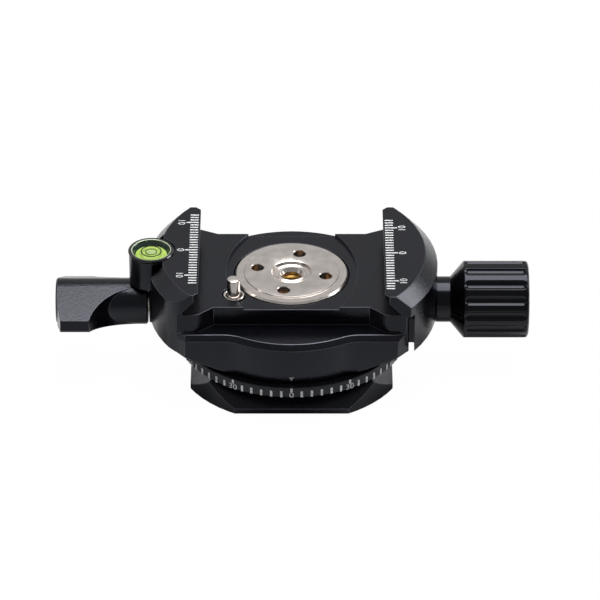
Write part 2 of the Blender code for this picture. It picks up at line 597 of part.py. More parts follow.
def build_head(mats):
    body = lathe("head_body",
                 [(HUB_R + GAP, HEAD_Z0)] + outer_profile(JAW_Z1) + [
                     (FLANGE_R + GAP, JAW_Z1), (FLANGE_R + GAP, WEB_Z1),
                     (WEB_HOLE_R, WEB_Z1), (WEB_HOLE_R, WEB_Z0), (HUB_R + GAP, WEB_Z0)],
                 BIG_SEGS, mats["anodised"])
    low = HEAD_Z0 - OVER
    face = (FACE_Y, NOSE_R, FACE_BACK_Y, NOSE_BACK_R)
    ledge = (LEDGE_Y, LEDGE_NOSE_R, LEDGE_BACK_Y, LEDGE_NOSE_BACK_R)
    sides = loft("body_side_guide", [
        side_loop(*face, FACE_CORNER_X, low),
        side_loop(*face, FACE_CORNER_X, LEDGE_Z - LEDGE_CHAMFER_H),
        side_loop(*ledge, LEDGE_CORNER_X, LEDGE_Z),
        side_loop(*ledge, LEDGE_CORNER_X, CLEAR_ABOVE)])
    combine(body, sides, "INTERSECT")

    far = HEAD_R + OVER
    end = cross_prism("body_end_cutter", [
        (BODY_END_X, low), (far, low), (far, CLEAR_ABOVE), (BODY_END_X, CLEAR_ABOVE)],
        -HEAD_R, HEAD_R)
    channel = cross_prism("channel_cutter", [
        (-UNDERCUT_X, BED_Z), (far, BED_Z), (far, CLEAR_ABOVE), (-LIP_X, CLEAR_ABOVE),
        (-LIP_X, JAW_Z1 - LIP_T), (-UNDERCUT_X, BED_Z + UNDERCUT_TOP)], -HEAD_R, HEAD_R)
    recess = prism("bed_recess_cutter", recess_outline(), RECESS_Z, CLEAR_ABOVE)
    pockets = [prism("pocket_cutter_%d" % (i + 1), pocket_outline(side),
                     LEDGE_Z, BED_Z + WALL_TOP) for i, side in enumerate((-1, 1))]
    corners = [corner_cutter("fixed_lip_cutter_%d" % (i + 1), -1, end_y)
               for i, end_y in enumerate((-LEDGE_Y, LEDGE_BACK_Y))]
    cut(body, end, channel, recess, *pockets, *corners)

    # step beside the level's boss, then the boss itself and its seat
    notch = prism("level_step_cutter", [
        (-far, -NOTCH_HALF), (-NOTCH_X, -NOTCH_HALF), (-NOTCH_X, NOTCH_HALF), (-far, NOTCH_HALF)],
        RIM_Z0 - NOTCH_D, CLEAR_ABOVE)
    cut(body, notch)
    boss = rod("level_boss_guide", LEVEL_BOSS_R, LEVEL_BOSS_Z0, CLEAR_ABOVE, MID_SEGS)
    boss.location = (-LEVEL_X, 0, 0)
    combine(body, boss, "UNION")
    seat = rod("level_seat_cutter", LEVEL_CUP_R + GAP, LEVEL_CUP_Z0 - GAP,
               CLEAR_ABOVE + OVER, MID_SEGS)
    flange_seat = rod("level_flange_cutter", LEVEL_FLANGE_R + GAP, LEVEL_BOSS_Z1,
                      CLEAR_ABOVE + OVER, MID_SEGS)
    seat.location = flange_seat.location = (-LEVEL_X, 0, 0)
    cut(body, flange_seat, seat)

    # bores: stop pin, lock screw with spot face, clamp screw and guide pins
    stop = rod("stop_pin_cutter", STOP_BORE_R, STOP_BORE_Z0, CLEAR_ABOVE, SMALL_SEGS)
    stop.location = (STOP_X, STOP_Y, 0)
    lock_bore = lathe("lock_bore_cutter", [
        (0, HUB_R), (LOCK_CLEAR_R, HUB_R), (LOCK_CLEAR_R, SPOT_X), (SPOT_R, SPOT_X),
        (SPOT_R, far), (0, far)], SMALL_SEGS)
    along_x(lock_bore, 0, LEVER_Z, sign=-1)
    nut_x0 = BODY_END_X - GAP - NUT_L
    clamp_bore = rod("clamp_bore_cutter", NUT_R + GAP, nut_x0 - GAP, far, MID_SEGS)
    along_x(clamp_bore, 0, KNOB_Z)
    cut(body, stop, lock_bore, clamp_bore)
    for i, side in enumerate((-1, 1)):
        bore = lathe("guide_bore_cutter_%d" % (i + 1), [
            (0, GUIDE_BORE_X0), (GUIDE_R + GAP, GUIDE_BORE_X0),
            (GUIDE_R + GAP, BODY_END_X - JAW_SPRING_SEAT),
            (JAW_SPRING_R + JAW_SPRING_WIRE_R + GAP, BODY_END_X - JAW_SPRING_SEAT),
            (JAW_SPRING_R + JAW_SPRING_WIRE_R + GAP, far), (0, far)], SMALL_SEGS)
        along_x(bore, 0, GUIDE_Z, y=side * GUIDE_Y)
        slot = cross_prism("key_slot_cutter_%d" % (i + 1), [
            (KEY_SLOT_X0, KEY_Z0 - GAP), (far, KEY_Z0 - GAP), (far, KEY_Z0 + KEY_H + GAP),
            (KEY_SLOT_X0, KEY_Z0 + KEY_H + GAP)], *sorted(
                (side * (KEY_Y - GAP), side * (KEY_Y + KEY_T + GAP))))
        cut(body, bore, slot)

    parts = [body]
    nut = tube("clamp_nut", SCREW_CLEAR_R, NUT_R, nut_x0, BODY_END_X - GAP, MID_SEGS, mats["brass"])
    parts.append(along_x(nut, 0, KNOB_Z))
    washer = tube("lever_washer", LOCK_CLEAR_R, SIDE_WASHER_R, SIDE_WASHER_X,
                  SIDE_WASHER_X + SIDE_WASHER_T, MID_SEGS, mats["acetal"])
    parts.append(along_x(washer, 0, LEVER_Z, sign=-1))
    bush = tube("stop_pin_bush", STOP_PIN_R + GAP, STOP_BUSH_R, STOP_BUSH_Z0, STOP_BUSH_Z1,
                SMALL_SEGS, mats["steel"])
    bush.location = (STOP_X, STOP_Y, 0)
    parts.append(bush)
    return parts


def build_level(mats):
    inner_r = LEVEL_CUP_R - LEVEL_WALL
    floor_z = LEVEL_CUP_Z0 + LEVEL_WALL
    fluid_r = inner_r - GAP
    lens_z0 = LEVEL_FLANGE_Z1 - LEVEL_LENS_T
    fluid_z0, fluid_z1 = floor_z + GAP, lens_z0 - GAP
    cup = lathe("level_cup", [
        (0, LEVEL_CUP_Z0), (LEVEL_CUP_R, LEVEL_CUP_Z0), (LEVEL_CUP_R, LEVEL_FLANGE_Z0),
        (LEVEL_FLANGE_R, LEVEL_FLANGE_Z0), (LEVEL_FLANGE_R, LEVEL_FLANGE_Z1),
        (inner_r, LEVEL_FLANGE_Z1), (inner_r, floor_z), (0, floor_z)], MID_SEGS, mats["cup"])
    well_r, well_z = BUBBLE_R + GAP, fluid_z1 - BUBBLE_H - GAP
    fluid = lathe("level_fluid", [
        (0, fluid_z0), (fluid_r, fluid_z0), (fluid_r, fluid_z1), (well_r, fluid_z1),
        (well_r, well_z), (0, well_z)], MID_SEGS, mats["fluid"])
    low = fluid_z1 - BUBBLE_H
    dome = [(BUBBLE_R * cos(a), low + BUBBLE_H * (1 + sin(a)) / 2)
            for a in (-pi / 2 + pi * i / 8 for i in range(9))]
    dome[0], dome[-1] = (0, dome[0][1]), (0, dome[-1][1])
    bubble = lathe("level_bubble", dome, SMALL_SEGS, mats["bubble"])
    cap = [(fluid_r * cos(a), LEVEL_FLANGE_Z1 + LEVEL_DOME_H * sin(a))
           for a in (pi / 2 * i / 5 for i in range(6))]
    cap[-1] = (0, cap[-1][1])
    lens = lathe("level_lens", [(0, lens_z0), (fluid_r, lens_z0)] + cap, MID_SEGS, mats["clear"])
    parts = [cup, fluid, bubble, lens]
    for obj in parts:
        obj.location = (-LEVEL_X, 0, 0)
    return parts


# ---- clamp -----------------------------------------------------------------------------------------------
def build_jaw(mats):
    far = HEAD_R + OVER
    under_z = BED_Z + GAP
    jaw = cross_prism("movable_jaw", [
        (JAW_X0, JAW_BASE_Z), (far, JAW_BASE_Z), (far, JAW_Z1), (LIP_X, JAW_Z1),
        (LIP_X, JAW_Z1 - LIP_T), (UNDERCUT_X, BED_Z + UNDERCUT_TOP), (UNDERCUT_X, under_z),
        (JAW_X0, under_z)], -LEDGE_Y - JAW_OFFSET, LEDGE_Y - JAW_OFFSET, mats["anodised"])
    outer = lathe("jaw_outer_guide", [(0, HEAD_Z0)] + outer_profile(CLEAR_ABOVE)
                  + [(0, CLEAR_ABOVE)], BIG_SEGS)
    outer.location = (JAW_OPEN, -JAW_OFFSET, 0)
    combine(jaw, outer, "INTERSECT")
    cut(jaw, *[corner_cutter("sliding_lip_cutter_%d" % (i + 1), 1, side * LEDGE_Y - JAW_OFFSET)
               for i, side in enumerate((-1, 1))])
    for i, side in enumerate((-1, 1)):
        key = cross_prism("jaw_key_guide_%d" % (i + 1), [
            (KEY_X0, KEY_Z0), (JAW_X0 + KEY_T, KEY_Z0), (JAW_X0 + KEY_T, KEY_Z0 + KEY_H),
            (KEY_X0, KEY_Z0 + KEY_H)], *sorted((side * KEY_Y, side * (KEY_Y + KEY_T))))
        combine(jaw, key, "UNION")
    hole = lathe("jaw_screw_cutter", [
        (0, JAW_X0 - OVER), (SCREW_CLEAR_R, JAW_X0 - OVER), (SCREW_CLEAR_R, SPOT_X),
        (SPOT_R, SPOT_X), (SPOT_R, far), (0, far)], MID_SEGS)
    along_x(hole, 0, KNOB_Z)
    cut(jaw, hole)

    parts = [jaw]
    springs = []
    for i, side in enumerate((-1, 1)):
        y = side * GUIDE_Y
        bore = rod("jaw_pin_cutter_%d" % (i + 1), GUIDE_R + GAP, JAW_X0 - OVER,
                   JAW_X0 + GUIDE_IN_JAW + GAP, SMALL_SEGS)
        cut(jaw, along_x(bore, 0, GUIDE_Z, y=y))
        pin = rod("guide_pin_%d" % (i + 1), GUIDE_R, GUIDE_X0, JAW_X0 + GUIDE_IN_JAW,
                  SMALL_SEGS, mats["steel"])
        parts.append(along_x(pin, 0, GUIDE_Z, y=y))
        spring = coil("jaw_spring_%d" % (i + 1), JAW_SPRING_R, JAW_SPRING_WIRE_R, JAW_SPRING_TURNS,
                      BODY_END_X - JAW_SPRING_SEAT + GAP, JAW_X0 - GAP, mats["spring"])
        springs.append(along_x(spring, 0, GUIDE_Z, y=y))
    washer = tube("knob_washer", SCREW_CLEAR_R, SIDE_WASHER_R, SIDE_WASHER_X,
                  SIDE_WASHER_X + SIDE_WASHER_T, MID_SEGS, mats["acetal"])
    parts.append(along_x(washer, 0, KNOB_Z))
    return parts, springs


def build_knob(mats):
    """Knob about local Z, its inner face at z = 0."""
    cone_z = KNOB_NECK_L
    barrel_z = cone_z + KNOB_CONE_L
    end_z = barrel_z + KNOB_BARREL_L
    flute_0, flute_1 = barrel_z + KNOB_PLAIN_IN, end_z - KNOB_PLAIN_OUT
    run = KNOB_FLUTE_RUNOUT
    stations = [(KNOB_NECK_R, 0, 0), (KNOB_NECK_R, cone_z, 0), (KNOB_R, barrel_z, 0),
                (KNOB_R, flute_0, 0), (KNOB_R, flute_0 + run / 3, 0.75), (KNOB_R, flute_0 + run, 1),
                (KNOB_R, flute_1 - run, 1), (KNOB_R, flute_1 - run / 3, 0.75), (KNOB_R, flute_1, 0),
                (KNOB_R, end_z - BREAK - BREAK, 0), (KNOB_R - BREAK - BREAK, end_z, 0),
                (KNOB_DISH_R, end_z, 0), (KNOB_DISH_R, end_z - KNOB_DISH_D, 0)]
    loops = []
    for radius, z, depth_share in stations:
        loop = []
        for i in range(KNOB_FLUTES * FLUTE_STEPS):
            phase = (i % FLUTE_STEPS) / FLUTE_STEPS - 0.5
            groove = max(0.0, 1 - (2 * phase / FLUTE_WIDTH_SHARE) ** 2)
            r = radius - KNOB_FLUTE_D * depth_share * sqrt(groove)
            a = 2 * pi * i / (KNOB_FLUTES * FLUTE_STEPS)
            loop.append((r * cos(a), r * sin(a), z))
        loops.append(loop)
    knob = loft("clamp_knob", loops, mats["anodised"], smooth=True)
    bore = rod("knob_bore_cutter", SCREW_CLEAR_R, -OVER, SCREW_IN_KNOB + GAP, MID_SEGS)
    along_x(bore, HANDLE_X, KNOB_Z)
    cut(knob, bore)
    screw = lathe("clamp_screw", [
        (0, -(HANDLE_X - BODY_END_X) - SCREW_REACH),
        (SCREW_R - BREAK, -(HANDLE_X - BODY_END_X) - SCREW_REACH),
        (SCREW_R, -(HANDLE_X - BODY_END_X) - SCREW_REACH + BREAK),
        (SCREW_R, SCREW_IN_KNOB), (0, SCREW_IN_KNOB)], SMALL_SEGS, mats["steel"])
    return [along_x(knob, HANDLE_X, KNOB_Z), along_x(screw, HANDLE_X, KNOB_Z)]


# ---- lock lever --------------------------------------------------------------------------------------------
def build_lever(mats):
    """Lever about local Z, inner face at z = 0; local Y is the front wing's way, turned by the tilt."""
    lever = lathe("lock_lever", [
        (0, 0), (LEVER_R - BREAK, 0), (LEVER_R, BREAK), (LEVER_R, LEVER_L - BREAK),
        (LEVER_R - BREAK, LEVER_L), (0, LEVER_L)], MID_SEGS, mats["anodised"])

    # wings' cross-section: upper faces run tangent from the barrel down to the tips
    rise = atan2(LEVER_R - WING_TIP_TOP, WING_SPAN)
    for _ in range(20):
        touch_y, touch_x = LEVER_R * sin(rise), LEVER_R * cos(rise)
        rise = atan2(touch_x - WING_TIP_TOP, WING_SPAN - touch_y)
    half = [(touch_x, touch_y), (WING_TIP_TOP, WING_SPAN),
            (-WING_TIP_LOW + WING_TIP_CUT, WING_SPAN), (-WING_TIP_LOW, WING_SPAN - WING_TIP_CUT),
            (-touch_x, touch_y)]
    section = half + [(x, -y) for x, y in reversed(half)]
    wings = prism("lever_wing_guide", section, BREAK, LEVER_L - BREAK)

    # plan of the wings: drawn in at the tips, swept back to the barrel by a hollow arc
    tip_z1 = LEVER_L - WING_TIP_IN
    tip_z0 = tip_z1 - WING_TIP_L
    root_y = LEVER_R / 2
    sweep_z = tip_z0 - sqrt(WING_SWEEP_R ** 2 - (WING_SWEEP_R + root_y - WING_SPAN) ** 2)
    centre_y = root_y + WING_SWEEP_R
    a1 = atan2(WING_SPAN - centre_y, tip_z0 - sweep_z)
    sweep = arc(WING_SWEEP_R, -pi / 2, a1, 12, sweep_z, centre_y)
    half_plan = [(0, root_y)] + sweep + [(tip_z1, WING_SPAN)]
    half_plan += [(LEVER_L, root_y)]
    plan = half_plan + [(z, -y) for z, y in reversed(half_plan)]
    depth = LEVER_R + OVER
    clip = prism("lever_plan_guide", [(z, y) for z, y in plan], -depth, depth)
    for v in clip.data.vertices:
        v.co = (v.co.z, v.co.y, v.co.x)
    clip.data.flip_normals()
    combine(wings, clip, "INTERSECT")
    combine(lever, wings, "UNION")
    bore = rod("lever_bore_cutter", LOCK_CLEAR_R, -OVER, LOCK_SCREW_IN_LEVER + GAP, SMALL_SEGS)
    cut(lever, bore)

    tip_x = HUB_R + GAP + BRAKE_PLAY           # shoe's hollow end, measured from the pan axis
    shoe_back = tip_x + SHOE_L
    screw_l = LOCK_SCREW_IN_LEVER + HANDLE_X - shoe_back - GAP
    screw = rod("lock_screw", LOCK_SCREW_R, LOCK_SCREW_IN_LEVER - screw_l, LOCK_SCREW_IN_LEVER,
                SMALL_SEGS, mats["steel"])
    for obj in (lever, wings, clip, bore, screw):
        along_x(obj, -HANDLE_X, LEVER_Z, sign=-1)
    turn = Matrix.Rotation(LEVER_TILT, 4, "Z")
    for obj in (lever, wings, clip):
        obj.data.transform(turn)

    shoe = rod("brake_shoe", LOCK_SCREW_R, tip_x - OVER, shoe_back, SMALL_SEGS, mats["bronze"])
    along_x(shoe, 0, LEVER_Z, sign=-1)
    drum = rod("shoe_drum_cutter", tip_x, HEAD_Z0, HUB_Z1 + OVER, BIG_SEGS)
    cut(shoe, drum)
    return [lever, screw], [shoe]


def build_stop_pin(mats):
    pin = lathe("stop_pin", [
        (0, STOP_COLLAR_Z0), (STOP_COLLAR_R, STOP_COLLAR_Z0), (STOP_COLLAR_R, STOP_COLLAR_Z1),
        (STOP_PIN_R, STOP_COLLAR_Z1), (STOP_PIN_R, BED_Z + STOP_PIN_STAND - BREAK),
        (STOP_PIN_R - BREAK, BED_Z + STOP_PIN_STAND), (0, BED_Z + STOP_PIN_STAND)],
        SMALL_SEGS, mats["steel"])
    spring = coil("stop_pin_spring", STOP_SPRING_R, STOP_SPRING_WIRE_R, STOP_SPRING_TURNS,
                  STOP_BORE_Z0 + GAP, STOP_COLLAR_Z0 - GAP, mats["spring"])
    pin.location = spring.location = (STOP_X, STOP_Y, 0)
    return [pin], [spring]


# ---- assembly ------------------------------------------------------------------------------------------------
def build():
    clear_scene()
    mats = base_materials()
    root = axis_empty("head_on_base", (0, 0, 0))
    hang_on(root, *build_base(mats))

    pan = axis_empty("pan_axis", (0, 0, BED_Z), root)
    hang_on(pan, *build_head(mats), *build_level(mats))

    jaw_parts, jaw_springs = build_jaw(mats)
    slide = axis_empty("jaw_slide_axis", (JAW_X0, 0, KNOB_Z), pan)
    hang_on(slide, *jaw_parts)
    hang_on(pan, *jaw_springs)
    knob_axis = axis_empty("knob_axis", (HANDLE_X - JAW_X0, 0, 0), slide)
    hang_on(knob_axis, *build_knob(mats))

    lever_parts, shoe_parts = build_lever(mats)
    lever_axis = axis_empty("lever_axis", (-HANDLE_X, 0, LEVER_Z - BED_Z), pan)
    hang_on(lever_axis, *lever_parts)
    hang_on(pan, *shoe_parts)

    pin_parts, pin_springs = build_stop_pin(mats)
    pin_axis = axis_empty("stop_pin_axis", (STOP_X, STOP_Y, 0), pan)
    hang_on(pin_axis, *pin_parts)
    hang_on(pan, *pin_springs)


build()
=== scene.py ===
"""Looks of the panoramic tripod head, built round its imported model.

Frame as in the CAD: origin under the base on the pan axis, +Z up, +X to the clamp
knob, -X to the lock lever, -Y to the front. Lengths are in metres.
"""
import json
from math import sin, cos, pi, radians

import bpy
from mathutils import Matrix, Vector

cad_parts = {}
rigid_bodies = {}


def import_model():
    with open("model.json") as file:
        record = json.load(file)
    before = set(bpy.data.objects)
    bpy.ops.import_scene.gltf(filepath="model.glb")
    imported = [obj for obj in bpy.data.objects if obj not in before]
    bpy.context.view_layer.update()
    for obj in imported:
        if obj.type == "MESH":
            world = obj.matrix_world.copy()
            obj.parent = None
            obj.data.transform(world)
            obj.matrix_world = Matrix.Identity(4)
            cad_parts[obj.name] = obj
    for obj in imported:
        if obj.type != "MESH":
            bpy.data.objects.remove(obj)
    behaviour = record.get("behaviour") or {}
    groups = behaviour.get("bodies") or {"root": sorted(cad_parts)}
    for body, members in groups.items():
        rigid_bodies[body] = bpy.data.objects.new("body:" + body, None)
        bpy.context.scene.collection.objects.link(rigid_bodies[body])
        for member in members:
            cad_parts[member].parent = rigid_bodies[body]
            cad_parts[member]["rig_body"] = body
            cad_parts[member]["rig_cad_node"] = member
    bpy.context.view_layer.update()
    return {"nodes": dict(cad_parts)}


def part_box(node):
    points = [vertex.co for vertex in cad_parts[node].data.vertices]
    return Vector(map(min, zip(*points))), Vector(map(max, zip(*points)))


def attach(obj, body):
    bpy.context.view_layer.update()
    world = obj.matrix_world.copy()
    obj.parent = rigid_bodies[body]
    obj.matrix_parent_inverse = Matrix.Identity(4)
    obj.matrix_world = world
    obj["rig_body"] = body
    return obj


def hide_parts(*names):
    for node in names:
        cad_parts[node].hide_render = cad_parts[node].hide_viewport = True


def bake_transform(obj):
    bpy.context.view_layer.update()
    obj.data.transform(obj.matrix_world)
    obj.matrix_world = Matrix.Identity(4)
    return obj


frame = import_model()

MM = 0.001

# ---- places and sizes of the head, as the CAD has them
JAW_Z = 27.4 * MM
LIP_X = 19.4 * MM
DIAL_R, DIAL_HOLE_R = 24.5 * MM, 17.3 * MM
DIAL_Z0, DIAL_Z1 = 6.3 * MM, 8.75 * MM
NOSE_R = 22.7 * MM
KNOB_X, KNOB_Z = 30.4 * MM, 15.1 * MM
LEVEL_PLACE = (-29.6 * MM, 0, 0)
STOP_PLACE = (-12.135 * MM, -8.817 * MM, 0)

# ---- what scene.py adds to them
BROKEN_EDGE = 0.12 * MM   # milled and turned edges are broken this far
THIN_EDGE = 0.08 * MM     # and those of the lever's thin wings
EDGE_STEPS = 2
CREASE = radians(28)      # edges sharper than this get broken
SOFT = radians(50)        # a broken edge's own faces shade as one up to this
FLAT = radians(0.3)       # faces this close to one plane are one face
JOIN = MM / 1000          # corners this close are one corner
JOIN_MILLED = MM / 12     # on milled pieces, so that no broken edge overruns a short one

PRINT_T = 0.02 * MM       # printed marks stand this far above their surface
PRINT_SINK = 0.03 * MM    # and reach this far below it
MARK_T = PRINT_T + PRINT_SINK
MARK_LIFT = (PRINT_T - PRINT_SINK) / 2    # from the surface to a mark's middle

RIM_SIDES, RING_SIDES, ROUND_SIDES, SMALL_SIDES, HOLE_SIDES = 192, 96, 64, 48, 32


# ---- modelling
def deselect():
    if bpy.context.mode != "OBJECT":
        bpy.ops.object.mode_set(mode="OBJECT")
    bpy.ops.object.select_all(action="DESELECT")


def take(obj):
    deselect()
    obj.select_set(True)
    bpy.context.view_layer.objects.active = obj


def new_piece(name):
    obj = bpy.context.object
    obj.name = obj.data.name = name
    return obj


def settle(obj):
    """Put the object's place and turn into its mesh."""
    take(obj)
    bpy.ops.object.transform_apply(location=True, rotation=True, scale=True)


def worked(obj, kind, **settings):
    """Finish a piece with a modifier, applied at once."""
    take(obj)
    mod = obj.modifiers.new(kind.lower(), kind)
    for key, value in settings.items():
        setattr(mod, key, value)
    bpy.ops.object.modifier_apply(modifier=mod.name)


def break_edges(obj, width, slot=-1):
    """Bevels the sharp edges. The new faces take the material in that slot."""
    worked(obj, "BEVEL", width=width, segments=EDGE_STEPS, limit_method="ANGLE",
           angle_limit=CREASE, use_clamp_overlap=False, harden_normals=False,
           miter_outer="MITER_ARC", material=slot)


def smooth(obj, angle=CREASE):
    take(obj)
    bpy.ops.object.shade_smooth_by_angle(angle=angle)


def even_faces(obj):
    """Flat faces shade flat and the broken edges round: normals follow the large faces."""
    smooth(obj, SOFT)
    worked(obj, "WEIGHTED_NORMAL", keep_sharp=True, weight=90)


def cut_with(obj, cutter):
    worked(obj, "BOOLEAN", operation="DIFFERENCE", solver="EXACT", object=cutter)
    bpy.data.objects.remove(cutter)


def join(name, pieces):
    deselect()
    for piece in pieces:
        piece.select_set(True)
    bpy.context.view_layer.objects.active = pieces[0]
    bpy.ops.object.join()
    return new_piece(name)


def mm(*points):
    """Outline points given in millimetres, as on a drawing."""
    return [(r * MM, z * MM) for r, z in points]


def closed(outline):
    return outline + outline[:1]


def turned(name, outline, sides, place=(0, 0, 0), turn=(0, 0, 0)):
    """A piece off the lathe: its outline of (radius, height) drawn point by point and spun."""
    deselect()
    bpy.ops.mesh.primitive_plane_add(size=MM, location=(0, 0, 0))
    obj = new_piece(name)
    bpy.ops.object.mode_set(mode="EDIT")
    bpy.ops.mesh.select_mode(type="VERT")
    bpy.ops.mesh.merge(type="CENTER")
    bpy.ops.transform.translate(value=(outline[0][0], 0, outline[0][1]))
    for (r0, z0), (r1, z1) in zip(outline, outline[1:]):
        bpy.ops.mesh.extrude_region_move(
            TRANSFORM_OT_translate={"value": (r1 - r0, 0, z1 - z0)})
    bpy.ops.mesh.select_all(action="SELECT")
    bpy.ops.mesh.spin(steps=sides, angle=2 * pi, center=(0, 0, 0), axis=(0, 0, 1))
    bpy.ops.mesh.select_all(action="SELECT")
    bpy.ops.mesh.remove_doubles(threshold=JOIN)
    bpy.ops.mesh.normals_make_consistent(inside=False)
    bpy.ops.object.mode_set(mode="OBJECT")
    obj.location, obj.rotation_euler = place, turn
    settle(obj)
    smooth(obj)
    return obj


def copied(node, name, reach):
    """A copy of a CAD solid, its faces joined again where their corners lie within reach."""
    take(frame["nodes"][node])
    bpy.ops.object.duplicate()
    obj = new_piece(name)
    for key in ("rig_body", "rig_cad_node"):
        del obj[key]
    obj.parent = None
    obj.data.materials.clear()
    bpy.ops.object.mode_set(mode="EDIT")
    bpy.ops.mesh.select_all(action="SELECT")
    bpy.ops.mesh.remove_doubles(threshold=reach)
    bpy.ops.mesh.customdata_custom_splitnormals_clear()
    bpy.ops.mesh.dissolve_limited(angle_limit=FLAT, delimit=set())
    bpy.ops.object.mode_set(mode="OBJECT")
    return obj


def machined(node, name, width):
    """A milled piece: a copy of its CAD solid with its edges broken, nowhere outside it."""
    obj = copied(node, name, JOIN_MILLED)
    obj.data.materials.append(ANODISED)
    # the broken edges take the second slot, a painted highlight
    obj.data.materials.append(ANODISED_EDGE)
    break_edges(obj, width, slot=1)
    worked(obj, "SHRINKWRAP", target=frame["nodes"][node],
           wrap_method="NEAREST_SURFACEPOINT", wrap_mode="INSIDE")
    even_faces(obj)
    return obj


def thread(r_top, r_root, z0, z1, pitch):
    """Outline points of a thread's flanks, from z0 to z1."""
    count = round((z1 - z0) / pitch)
    step = (z1 - z0) / count
    points = []
    for i in range(count):
        points += [(r_root, z0 + i * step), (r_top, z0 + (i + 0.5) * step)]
    return points + [(r_root, z1)]


# ---- materials
def colour(hex_code):
    """sRGB hex to the linear colour that the shaders take."""
    parts = [int(hex_code[i:i + 2], 16) / 255 for i in (0, 2, 4)]
    return tuple(c / 12.92 if c <= 0.04045 else ((c + 0.055) / 1.055) ** 2.4
                 for c in parts) + (1.0,)


def add(mat, kind, settings=None, sockets=None):
    """Adds a node: settings are its own, sockets hold values or other nodes' outputs."""
    node = mat.node_tree.nodes.new(kind)
    for key, value in (settings or {}).items():
        setattr(node, key, value)
    for key, value in (sockets or {}).items():
        if isinstance(value, bpy.types.NodeSocket):
            mat.node_tree.links.new(value, node.inputs[key])
        else:
            node.inputs[key].default_value = value
    return node


def finish(name, sockets):
    """A material with one Principled shader, and that shader."""
    mat = bpy.data.materials.new(name)
    mat.use_nodes = True
    shader = mat.node_tree.nodes["Principled BSDF"]
    for key, value in sockets.items():
        shader.inputs[key].default_value = value
    return mat, shader


def ramp(mat, factor, stops):
    """Colour ramp between (position, hex) stops."""
    node = add(mat, "ShaderNodeValToRGB", sockets={"Fac": factor})
    while len(node.color_ramp.elements) < len(stops):
        node.color_ramp.elements.new(0.5)
    for element, (position, hex_code) in zip(node.color_ramp.elements, stops):
        element.position = position
        element.color = colour(hex_code)
    return node.outputs["Color"]


def blasted_anodised(name, dark, light, roughness, grain=0.42 * MM, depth=0.045 * MM,
                     tint=(0.82, 0.85, 0.98, 1), metal=0.0):
    """Aluminium, bead-blasted and anodised black: a fine even grain that glints where
    the light grazes it, a soft sheen and a slight drift in tone."""
    mat, shader = finish(name, {"Roughness": roughness, "Specular Tint": tint,
                                "Metallic": metal})
    place = add(mat, "ShaderNodeTexCoord").outputs["Object"]
    drift = add(mat, "ShaderNodeTexNoise", sockets={
        "Vector": place, "Scale": 1 / (9 * MM), "Detail": 3.0}).outputs["Fac"]
    beads = add(mat, "ShaderNodeTexNoise", sockets={
        "Vector": place, "Scale": 1 / grain, "Detail": 2.0, "Roughness": 0.6}).outputs["Fac"]
    tone = ramp(mat, drift, [(0.3, dark), (0.7, light)])
    rough = add(mat, "ShaderNodeMapRange", sockets={
        "Value": beads, "From Min": 0.3, "From Max": 0.7,
        "To Min": roughness - 0.04, "To Max": roughness + 0.06}).outputs["Result"]
    bump = add(mat, "ShaderNodeBump", sockets={
        "Strength": 1.0, "Distance": depth, "Height": beads}).outputs["Normal"]
    for key, value in (("Base Color", tone), ("Roughness", rough), ("Normal", bump)):
        mat.node_tree.links.new(value, shader.inputs[key])
    return mat


LATHE_PITCH, LATHE_DEPTH = 0.35 * MM, 0.0008 * MM


def turned_metal(name, dark, light, roughness):
    """Metal off the lathe: fine rings round the pan axis, a few faint stains."""
    mat, shader = finish(name, {"Metallic": 1.0, "Roughness": roughness})
    place = add(mat, "ShaderNodeTexCoord").outputs["Object"]
    rings = add(mat, "ShaderNodeTexWave", {"wave_type": "RINGS", "rings_direction": "Z"}, {
        "Vector": place, "Scale": 1 / (LATHE_PITCH * 20), "Distortion": 0.6, "Detail": 2.0,
        "Detail Scale": 2.0}).outputs["Fac"]
    stains = add(mat, "ShaderNodeTexNoise", sockets={
        "Vector": place, "Scale": 1 / (2.2 * MM), "Detail": 4.0}).outputs["Fac"]
    tone = ramp(mat, stains, [(0.3, dark), (0.6, light)])
    rough = add(mat, "ShaderNodeMapRange", sockets={
        "Value": stains, "From Min": 0.3, "From Max": 0.7,
        "To Min": roughness - 0.02, "To Max": roughness + 0.04}).outputs["Result"]
    bump = add(mat, "ShaderNodeBump", sockets={
        "Strength": 0.6, "Distance": LATHE_DEPTH, "Height": rings}).outputs["Normal"]
    for key, value in (("Base Color", tone), ("Roughness", rough), ("Normal", bump)):
        mat.node_tree.links.new(value, shader.inputs[key])
    return mat


def printed(name, thin, full):
    """Pad-printed enamel: slightly uneven cover over the black."""
    mat, shader = finish(name, {"Roughness": 0.55})
    place = add(mat, "ShaderNodeTexCoord").outputs["Object"]
    cover = add(mat, "ShaderNodeTexNoise", sockets={
        "Vector": place, "Scale": 1 / (0.5 * MM), "Detail": 2.0}).outputs["Fac"]
    tone = ramp(mat, cover, [(0.35, thin), (0.6, full)])
    mat.node_tree.links.new(tone, shader.inputs["Base Color"])
    return mat


def moulded(name, dark, light, roughness, **sockets):
    """Moulded or machined plastic with a faint drift in tone."""
    mat, shader = finish(name, {"Roughness": roughness, **sockets})
    place = add(mat, "ShaderNodeTexCoord").outputs["Object"]
    drift = add(mat, "ShaderNodeTexNoise", sockets={
        "Vector": place, "Scale": 1 / (1.5 * MM), "Detail": 2.0}).outputs["Fac"]
    tone = ramp(mat, drift, [(0.35, dark), (0.65, light)])
    mat.node_tree.links.new(tone, shader.inputs["Base Color"])
    return mat


def clear(name, tint, alpha):
    """Clear acrylic or a film of air: see-through, with a faint gloss."""
    mat, _ = finish(name, {"Base Color": colour(tint), "Roughness": 0.03, "Alpha": alpha,
                           "IOR": 1.45})
    return mat


